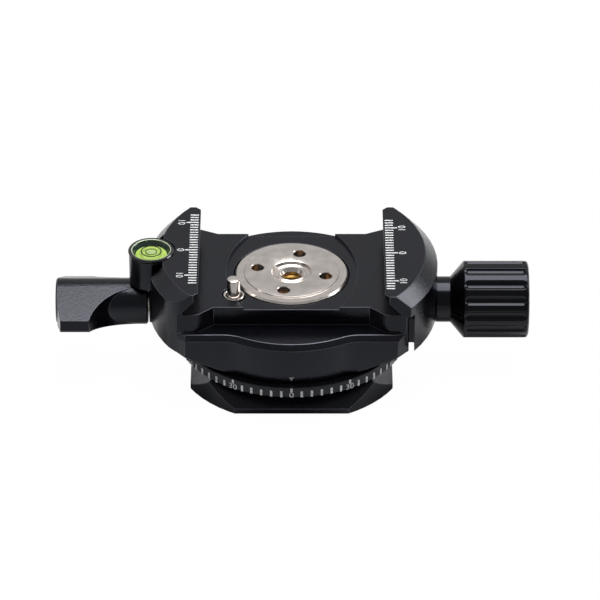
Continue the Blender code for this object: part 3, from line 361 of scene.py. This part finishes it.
ANODISED = blasted_anodised("aluminium_blasted_black_anodised", "030307", "05060b", 0.2)
# ANODISED_EDGE: a lighter, metallic finish on the broken edges, painted highlight lines along
# them
ANODISED_EDGE = blasted_anodised("aluminium_edge_painted_highlight", "46474d", "56575e", 0.3,
                                 depth=0.01 * MM, metal=0.9)
ANODISED_RING = blasted_anodised("aluminium_turned_black_anodised", "040405", "070708", 0.25,
                                 grain=0.2 * MM, depth=0.02 * MM)
ANODISED_KNOB = blasted_anodised("aluminium_knob_gloss_anodised", "020203", "040405", 0.16,
                                 grain=0.3 * MM, depth=0.003 * MM, tint=(0.6, 0.62, 0.72, 1))
STEEL = turned_metal("stainless_turned", "e4dcd6", "eee6e0", 0.22)
BRASS = turned_metal("brass_machined", "6e5228", "8f6d3a", 0.34)
BLACK_STEEL = blasted_anodised("steel_black_oxide", "141414", "1c1c1c", 0.4)
BRONZE = turned_metal("bronze_bush", "7c5a38", "94704a", 0.4)
SPRING_STEEL = turned_metal("spring_steel_drawn", "a8a8aa", "bcbcbe", 0.35)
ACETAL = moulded("acetal_machined_black", "0a0a0a", "101010", 0.5)
WHITE_PRINT = printed("enamel_printed_white", "b4b6b6", "e4e6e6")
GREY_PRINT = printed("enamel_printed_grey", "9a9c9c", "c0c2c2")
# VIAL_DARK: dark green painted shade on the vial's wall, for its far side seen in shade
VIAL_DARK = moulded("vial_wall_painted_shade", "142420", "1c332b", 0.15)
VIAL_RIM = moulded("vial_rim_black_acrylic", "0a0c0b", "121513", 0.12, **{"Coat Weight": 0.6})
VIAL_FLUID = moulded("vial_floor_green_fluid", "b4d65a", "cdea78", 0.3)
# VIAL_EDGE: pale green painted highlight for the bright rim of the lens
VIAL_EDGE = moulded("vial_edge_painted_highlight", "b6c7a4", "cad8bb", 0.2)
# VIAL_PRINT_AND_SHADE: black for the printed target ring and, as painted shade, for the dark edge
# of the bubble
VIAL_PRINT_AND_SHADE = moulded("vial_print_and_bubble_shade_black", "050806", "0a0f0b", 0.35)
LENS = clear("lens_clear_acrylic", "4a564c", 0.05)
BUBBLE = clear("air_bubble_film", "e8f6d8", 0.16)


def dress(obj, body, mat, slot, *nodes):
    """Gives a finished piece its body and its material, and hides the CAD nodes that it stands
    for. With None for mat it keeps the materials that it has. Its slot is not used."""
    if mat is not None:
        obj.data.materials.clear()
        obj.data.materials.append(mat)
    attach(obj, body)
    if nodes:
        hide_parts(*nodes)


# ---- milled pieces
dress(machined("head_body", "head_shell", BROKEN_EDGE), "head", None, "black_anodised",
      "head_body")
dress(machined("movable_jaw", "jaw_block", BROKEN_EDGE), "jaw", None, "black_anodised",
      "movable_jaw")
dress(machined("base_plate", "dovetail_base", BROKEN_EDGE), "base", None, "black_anodised",
      "base_plate")
dress(machined("lock_lever", "winged_lever", THIN_EDGE), "lever", None, "black_anodised",
      "lock_lever")

# ---- dial ring with its degree scale
LOWER_EDGE = 0.25 * MM
dress(turned("degree_ring", closed([
    (DIAL_HOLE_R, DIAL_Z0), (DIAL_R - LOWER_EDGE, DIAL_Z0), (DIAL_R, DIAL_Z0 + LOWER_EDGE),
    (DIAL_R, DIAL_Z1 - BROKEN_EDGE), (DIAL_R - BROKEN_EDGE, DIAL_Z1),
    (DIAL_HOLE_R, DIAL_Z1)]), RIM_SIDES),
    "base", ANODISED_RING, "black_anodised_ring", "dial_ring")

TICK_STEP, NUMBER_STEP = 5, 30            # degrees
TICK_W, TICK_H = 0.5 * MM, 1.45 * MM
SHORT_H = 0.9 * MM                        # of the ticks above a number
NUMBER_H, NUMBER_SPREAD = 1.25 * MM, 1.15
FOOT = 0.12 * MM                          # from the ring's lower edge to the marks


def print_block(name, place, size, turn=0.0):
    """A flat printed mark, sunk a little into its surface."""
    deselect()
    bpy.ops.mesh.primitive_cube_add(size=1, location=place, scale=size,
                                    rotation=(0, 0, turn))
    obj = new_piece(name)
    settle(obj)
    return obj


def number(name, text, height, spread=1.0):
    """Printed figures as a thin mesh about the origin, upright in X and Y, spread times as
    wide as the font has them."""
    deselect()
    bpy.ops.object.text_add()
    obj = bpy.context.object
    obj.data.body = text
    obj.data.align_x, obj.data.align_y = "CENTER", "CENTER"
    obj.data.resolution_u = 4
    obj.data.extrude = 0.5
    bpy.ops.object.convert(target="MESH")
    obj = new_piece(name)
    corners = [v.co for v in obj.data.vertices]
    low = [min(c[i] for c in corners) for i in range(2)]
    high = [max(c[i] for c in corners) for i in range(2)]
    scale = height / (high[1] - low[1])
    for v in obj.data.vertices:
        v.co = ((v.co.x - (low[0] + high[0]) / 2) * scale * spread,
                (v.co.y - (low[1] + high[1]) / 2) * scale,
                v.co.z * MARK_T)
    bpy.ops.object.mode_set(mode="EDIT")
    bpy.ops.mesh.select_all(action="SELECT")
    bpy.ops.mesh.remove_doubles(threshold=JOIN)
    bpy.ops.mesh.normals_make_consistent(inside=False)
    bpy.ops.object.mode_set(mode="OBJECT")
    return obj


def on_ring(obj, angle, z):
    """Rolls flat figures onto the ring's side, angle from the front to the right."""
    for v in obj.data.vertices:
        a = angle + v.co.x / DIAL_R
        r = DIAL_R + MARK_LIFT + v.co.z
        v.co = (r * sin(a), -r * cos(a), z + v.co.y)
    return obj


marks = []
for degrees in range(-180, 180, TICK_STEP):
    a = radians(degrees)
    numbered = degrees % NUMBER_STEP == 0
    height = SHORT_H if numbered else TICK_H
    mid_z = DIAL_Z1 - BROKEN_EDGE - height / 2 if numbered else DIAL_Z0 + FOOT + height / 2
    r = DIAL_R + MARK_LIFT
    marks.append(print_block("degree_tick", (r * sin(a), -r * cos(a), mid_z),
                             (TICK_W, MARK_T, height), a))
    if numbered:
        figure = number("degree_number", str(abs(degrees)), NUMBER_H, NUMBER_SPREAD)
        marks.append(on_ring(figure, a, DIAL_Z0 + FOOT + NUMBER_H / 2))
dress(join("degree_scale", marks), "base", WHITE_PRINT, "black_anodised_ring")

# index mark on the nose, above the ring, with a corner down
INDEX_R, INDEX_Z = 0.6 * MM, 9.95 * MM
deselect()
bpy.ops.mesh.primitive_cylinder_add(vertices=3, radius=INDEX_R, depth=MARK_T,
                                    location=(0, -NOSE_R - MARK_LIFT, INDEX_Z),
                                    rotation=(-pi / 2, 0, 0))
index = new_piece("index_mark")
settle(index)
dress(index, "head", GREY_PRINT, "black_anodised")

# ---- millimetre scales on the jaws
SCALE_TICKS = 28
SCALE_IN = 0.4 * MM          # from the lip to the ticks
SCALE_TICK_W, SCALE_TICK_L, MAJOR_L = 0.42 * MM, 1.75 * MM, 2.6 * MM
FIGURE_H, FIGURE_GAP = 1.55 * MM, 0.2 * MM


def jaw_scale(name, side, zero_y, zero, majors, body):
    """Ticks a millimetre apart from the back to the front, longer ones with figures whose
    tops point to the bed. The tick numbered zero lies at zero_y."""
    pieces = []
    z = JAW_Z + MARK_LIFT
    first = LIP_X + SCALE_IN
    for i in range(SCALE_TICKS):
        length = MAJOR_L if i in majors else SCALE_TICK_L
        y = zero_y + (zero - i) * MM
        pieces.append(print_block(name, (side * (first + length / 2), y, z),
                                  (length, SCALE_TICK_W, MARK_T)))
        if i in majors:
            figure = number(name, "0" if i == zero else "10", FIGURE_H)
            figure.rotation_euler = (0, 0, side * pi / 2)
            figure.location = (side * (first + length + FIGURE_GAP + FIGURE_H / 2), y, z)
            settle(figure)
            pieces.append(figure)
    dress(join(name, pieces), body, WHITE_PRINT, "black_anodised")


jaw_scale("scale_fixed_jaw", -1, 0.0, 14, (3, 14, 24), "head")
jaw_scale("scale_sliding_jaw", 1, -1.2 * MM, 13, (3, 13, 24), "jaw")

# ---- stainless disc of the spindle and its brass bush
disc = turned("spindle_disc", mm(
    (0, 9.6), (6.0, 9.6), (6.0, 20.2),                                      # shaft
    (12.0, 20.2), (12.0, 21.4), (11.65, 21.75),                             # rim
    (10.12, 21.75), (10.0, 21.65), (9.9, 21.95), (9.7, 22.0),               # step with its groove
    (4.55, 22.0), (4.3, 21.88), (4.0, 21.2),                                # countersink
    (3.5, 21.05), (3.2, 21.1), (3.0, 21.45), (2.75, 21.55), (2.5, 21.5),    # collar
    (2.15, 20.9), (2.0, 20.7), (2.0, 12.2), (0, 12.2)), RIM_SIDES)          # bore
PIN_HOLES, PIN_HOLES_R, PIN_HOLES_TURN = 4, 7.4 * MM, -13
for i in range(PIN_HOLES):
    a = radians(PIN_HOLES_TURN + 360 / PIN_HOLES * i)
    hole = turned("pin_hole", mm((0, 19.2), (1.35, 19.2), (1.35, 21.9), (1.6, 22.15),
                                 (1.6, 23.0), (0, 23.0)),
                  HOLE_SIDES, (PIN_HOLES_R * cos(a), PIN_HOLES_R * sin(a), 0))
    cut_with(disc, hole)
smooth(disc)
dress(disc, "base", STEEL, "stainless", "spindle")
dress(turned("spindle_bush", closed(
    mm((1.75, 19.95), (1.95, 19.95), (1.95, 12.5))
    + thread(1.6 * MM, 1.35 * MM, 12.5 * MM, 19.7 * MM, 0.5 * MM)), SMALL_SIDES),
    "base", BRASS, "brass", "spindle_insert")

# ---- stop pin
dress(turned("stop_pin_turned", mm(
    (0, 18.1), (1.9, 18.1), (1.9, 19.2), (1.4, 19.2),                       # collar
    (1.4, 25.45), (1.28, 25.7), (1.05, 25.8), (0, 25.8)),                   # pin and its top
    SMALL_SIDES, STOP_PLACE), "pin", STEEL, "stainless", "stop_pin")
dress(turned("stop_bush_turned", closed(mm(
    (1.7, 19.5), (2.2, 19.5), (2.2, 21.8), (2.1, 21.9), (1.85, 21.9), (1.7, 21.75))),
    SMALL_SIDES, STOP_PLACE), "head", STEEL, "stainless", "stop_pin_bush")

# ---- clamp knob, turned upright and then laid along +X
LAY = (0, pi / 2, 0)
KNOB_R, KNOB_SIDES = 8.16 * MM, 180       # the barrel's radius, also in the outline below
FLUTES, FLUTE_D, FLUTE_W = 15, 0.55 * MM, 2.15 * MM
FLUTE_Z0, FLUTE_Z1 = 7.1 * MM, 18.2 * MM
ARC_STEPS = 8                             # in a quarter turn


def angles(start=0.0, quarters=1):
    """The angles of an arc's points."""
    steps = ARC_STEPS * quarters
    return [start + pi / 2 * quarters * k / steps for k in range(steps + 1)]


def quarter(radius):
    """Points (along, up) of a quarter circle that starts level at its foot."""
    return [(radius * sin(t), radius * (1 - cos(t))) for t in angles()]


def build_knob():
    knob = turned("fluted_knob", closed(mm(
        (3.15, 0), (4.65, 0), (4.85, 0.2), (4.85, 3.2),                     # neck
        (8.01, 5.9), (8.16, 6.15), (8.16, 19.1), (7.96, 19.5), (7.56, 19.7),    # cone and barrel
        (5.9, 19.7), (5.6, 19.4), (5.6, 18.9), (3.15, 18.9))), KNOB_SIDES)  # dish in the end
    flute_r = (FLUTE_W ** 2 / 4 + FLUTE_D ** 2) / (2 * FLUTE_D)
    centre_r = KNOB_R - FLUTE_D + flute_r
    outline = [(r, FLUTE_Z0 - flute_r + h) for r, h in quarter(flute_r)]
    outline += [(r, FLUTE_Z1 + flute_r - h) for r, h in reversed(quarter(flute_r))]
    for i in range(FLUTES):
        a = 2 * pi * i / FLUTES
        cut_with(knob, turned("flute_cutter", outline, SMALL_SIDES,
                              (centre_r * cos(a), centre_r * sin(a), 0)))
    break_edges(knob, BROKEN_EDGE)
    even_faces(knob)
    knob.rotation_euler, knob.location = LAY, (KNOB_X, 0, KNOB_Z)
    settle(knob)
    return knob


dress(build_knob(), "knob", ANODISED_KNOB, "black_anodised", "clamp_knob")
dress(turned("clamp_screw_threaded", mm((0, 16.9), (2.5, 16.9))
             + thread(2.85 * MM, 2.35 * MM, 17.1 * MM, 29.1 * MM, 1.0 * MM)
             + mm((2.85, 29.5), (2.85, 45.4), (0, 45.4)), SMALL_SIDES,
             (0, 0, KNOB_Z), LAY), "knob", STEEL, "stainless", "clamp_screw")

# ---- bubble level
# the vial's wall is dark green: painted shade for the far side of the vial
dress(turned("level_vial_wall", closed(mm(
    (0.01, 23.1), (3.9, 23.1), (4.1, 26.9), (4.1, 27.12), (3.9, 27.12), (3.45, 26.2),
    (0.01, 26.2))), ROUND_SIDES, LEVEL_PLACE), "head", VIAL_DARK, "level_cup", "level_cup")
dress(turned("level_flange", closed(mm(
    (3.95, 27.13), (4.85, 27.13), (4.85, 27.3), (4.65, 27.5), (4.3, 27.5), (4.1, 27.4),
    (3.95, 27.2))), RING_SIDES, LEVEL_PLACE), "head", VIAL_RIM, "level_cup")
# a pale ring at the lens rim: a painted highlight
dress(turned("level_edge_ring", closed(mm(
    (4.02, 27.34), (4.16, 27.42), (4.16, 27.46), (4.02, 27.4))), RING_SIDES, LEVEL_PLACE),
    "head", VIAL_EDGE, "level_cup")
dress(turned("level_fluid_floor", closed(mm(
    (0.01, 26.2), (3.35, 26.2), (3.3, 26.32), (0.01, 26.4))), ROUND_SIDES, LEVEL_PLACE),
    "head", VIAL_FLUID, "level_fluid", "level_fluid")
RING_T = 0.07                             # millimetres, like the lines below
# the target ring is print; the dark ring round the bubble is painted shade at the bubble's edge
for name, radius, width, z in (("level_target_ring", 2.1, 0.24, 27.0),
                               ("level_bubble_edge_shade", 1.15, 0.16, 26.9)):
    inner, outer = radius - width / 2, radius + width / 2
    dress(turned(name, closed(mm(
        (inner, z), (outer, z), (outer, z + RING_T), (inner, z + RING_T))),
        RING_SIDES, LEVEL_PLACE), "head", VIAL_PRINT_AND_SHADE, "level_cup")
BUBBLE_R, BUBBLE_H, BUBBLE_Z = 1.1 * MM, 0.25 * MM, 26.75 * MM
bubble_outline = [(BUBBLE_R * cos(t), BUBBLE_Z + BUBBLE_H * sin(t))
                  for t in angles(-pi / 2, 2)]
bubble_outline[0] = (0, bubble_outline[0][1])
bubble_outline[-1] = (0, bubble_outline[-1][1])
dress(turned("level_air_bubble", bubble_outline, SMALL_SIDES, LEVEL_PLACE),
      "head", BUBBLE, "air_bubble", "level_bubble")
LENS_R, LENS_H, LENS_Z = 3.9 * MM, 0.6 * MM, 27.35 * MM
lens_outline = mm((0, 27.25), (3.9, 27.25))
lens_outline += [(LENS_R * cos(t), LENS_Z + LENS_H * sin(t)) for t in angles()]
lens_outline[-1] = (0, lens_outline[-1][1])
dress(turned("level_lens_dome", lens_outline, ROUND_SIDES, LEVEL_PLACE),
      "head", LENS, "clear_acrylic", "level_lens")

# ---- tripod socket, with a 3/8 inch thread of 16 turns to the inch
dress(turned("tripod_socket_threaded", closed(
    mm((4.9, 0), (6.5, 0), (6.5, 9.0), (4.6, 9.0))
    + thread(4.15 * MM, 4.65 * MM, 0.5 * MM, 8.6 * MM, 1.5875 * MM)[::-1]), ROUND_SIDES),
    "base", STEEL, "stainless", "tripod_socket")

# ---- CAD nodes that stay, with their finishes
for node, mat in {
        "bearing_ring": ACETAL, "pan_washer": ACETAL, "lever_washer": ACETAL,
        "knob_washer": ACETAL, "pan_bush": BRONZE, "clamp_nut": BRASS, "brake_shoe": BRONZE,
        "lock_screw": STEEL, "guide_pin_1": STEEL, "guide_pin_2": STEEL,
        "dial_screw_1": BLACK_STEEL, "dial_screw_2": BLACK_STEEL, "dial_screw_3": BLACK_STEEL,
        "dial_screw_4": BLACK_STEEL}.items():
    frame["nodes"][node].data.materials.clear()
    frame["nodes"][node].data.materials.append(mat)

# the springs between the head and the piece that they push on, copied from the CAD coils
for spring, name, pushed, along in (("jaw_spring_1", "jaw_coil_front", "jaw", 0),
                                    ("jaw_spring_2", "jaw_coil_back", "jaw", 0),
                                    ("stop_pin_spring", "stop_pin_coil", "pin", 2)):
    coil = copied(spring, name, JOIN)
    smooth(coil, SOFT)
    low, high = (Vector(corner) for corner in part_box(spring))
    start = (low + high) / 2
    end = start.copy()
    start[along], end[along] = low[along], high[along]
    coil.data.materials.append(SPRING_STEEL)
    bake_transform(coil)
    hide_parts(spring)


# ---- floor, light and camera
def backdrop_material():
    """Seamless paper: white to the camera, with a trace of shadow. Reflections see it as the
    lamps light it, with painted shade in its colour that darkens it towards the front."""
    mat = bpy.data.materials.new("paper_seamless_white")
    mat.use_nodes = True
    nodes = mat.node_tree.nodes
    nodes.clear()
    rays = add(mat, "ShaderNodeLightPath")
    place = add(mat, "ShaderNodeSeparateXYZ", sockets={
        "Vector": add(mat, "ShaderNodeTexCoord").outputs["Object"]})
    # painted shade: the paper's colour, as reflections see it, darkens towards the front
    shade = add(mat, "ShaderNodeMapRange", sockets={
        "Value": place.outputs["Y"], "From Min": -0.045, "From Max": -0.012,
        "To Min": 0.38, "To Max": 0.7})
    paper = add(mat, "ShaderNodeBsdfDiffuse", sockets={"Color": shade.outputs["Result"]})
    white = add(mat, "ShaderNodeEmission", sockets={"Color": (1, 1, 1, 1), "Strength": 0.985})
    lit = add(mat, "ShaderNodeBsdfDiffuse", sockets={"Color": (0.02, 0.02, 0.02, 1)})
    both = add(mat, "ShaderNodeAddShader", sockets={0: white.outputs[0], 1: lit.outputs[0]})
    shown = add(mat, "ShaderNodeMixShader", sockets={
        0: rays.outputs["Is Camera Ray"], 1: paper.outputs[0], 2: both.outputs[0]})
    add(mat, "ShaderNodeOutputMaterial", sockets={"Surface": shown.outputs[0]})
    return mat


deselect()
bpy.ops.mesh.primitive_plane_add(size=6.0, location=(0, 0, 0))
floor = new_piece("paper_floor")
floor.data.materials.append(backdrop_material())


def softbox(name, place, aim, size, power):
    """A rectangular lamp. Its size is in metres and its power in watts."""
    deselect()
    bpy.ops.object.light_add(type="AREA", location=place)
    lamp = bpy.context.object
    lamp.name = name
    lamp.data.shape = "RECTANGLE"
    lamp.data.size, lamp.data.size_y = size
    lamp.data.energy = power
    way = Vector(aim) - Vector(place)
    lamp.rotation_euler = way.to_track_quat("-Z", "Y").to_euler()


softbox("softbox_overhead", (0.08, 0.12, 0.75), (0, 0.1, 0.02), (0.6, 0.62), 6.3)
softbox("softbox_right", (0.8, 0.2, 0.42), (0, 0, 0.02), (0.35, 0.4), 2.6)
softbox("softbox_left", (-0.75, 0.05, 0.4), (0, 0, 0.02), (0.6, 0.5), 0.36)

# white surroundings, brighter behind the head than in front
world = bpy.data.worlds.new("studio_white")
bpy.context.scene.world = world
world.use_nodes = True
background = world.node_tree.nodes["Background"]
background.inputs["Color"].default_value = (1, 1, 1, 1)
sky = add(world, "ShaderNodeSeparateXYZ", sockets={
    "Vector": add(world, "ShaderNodeTexCoord").outputs["Generated"]})
fall = add(world, "ShaderNodeMapRange", sockets={
    "Value": sky.outputs["Y"], "From Min": -0.5, "From Max": 0.6,
    "To Min": 0.2, "To Max": 0.45})
world.node_tree.links.new(fall.outputs["Result"], background.inputs["Strength"])

# the photo's camera: from the front, at this elevation and distance
VIEW_EL, VIEW_D = radians(32.65), 0.915
VIEW_LENS, VIEW_SENSOR = 258.66, 36.0     # millimetres
AIM = Vector((1.77 * MM, 0, 14.85 * MM))
deselect()
bpy.ops.object.camera_add(
    location=AIM + VIEW_D * Vector((0, -cos(VIEW_EL), sin(VIEW_EL))),
    rotation=(pi / 2 - VIEW_EL, 0, 0))
camera = bpy.context.object
camera.data.lens = VIEW_LENS
camera.data.sensor_width = VIEW_SENSOR
camera.data.clip_start = 0.01
bpy.context.scene.camera = camera

bpy.context.scene.view_settings.view_transform = "Standard"
